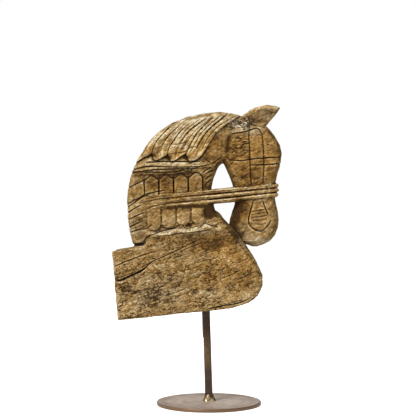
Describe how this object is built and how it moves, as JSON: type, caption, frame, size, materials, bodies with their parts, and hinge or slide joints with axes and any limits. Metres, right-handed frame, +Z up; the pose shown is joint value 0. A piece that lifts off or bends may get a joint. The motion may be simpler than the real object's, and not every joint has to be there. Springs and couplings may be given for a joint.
{
  "type": "carved wooden horse head sculpture on a stand",
  "caption": "Carved, weathered wooden horse head and shoulder block with plaited mane and reins, held upright on a leaning bar welded to a round steel disc.",
  "frame": {"origin": "centre of the steel disc's flat underside, on the surface that the sculpture stands on", "axes": "+Z up; +X the way the horse looks, along the length of the shoulder block; +Y through the thickness of the carving, with the side of the picture at -Y"},
  "size_m": [0.2405, 0.15, 0.43],
  "materials": {
    "weathered_wood": "dry weathered carved hardwood with cracks, pits and pale worn edges",
    "dark_steel": "dark brown waxed steel bar",
    "weld_metal": "uneven brassy weld bead",
    "disc_steel": "satin taupe-brown patinated steel disc with a darker edge"
  },
  "bodies": {
    "root": {"horse_head": "weathered_wood", "stem": "dark_steel", "weld_fillet": "weld_metal", "base_disc": "disc_steel"}
  },
  "joints": []
}
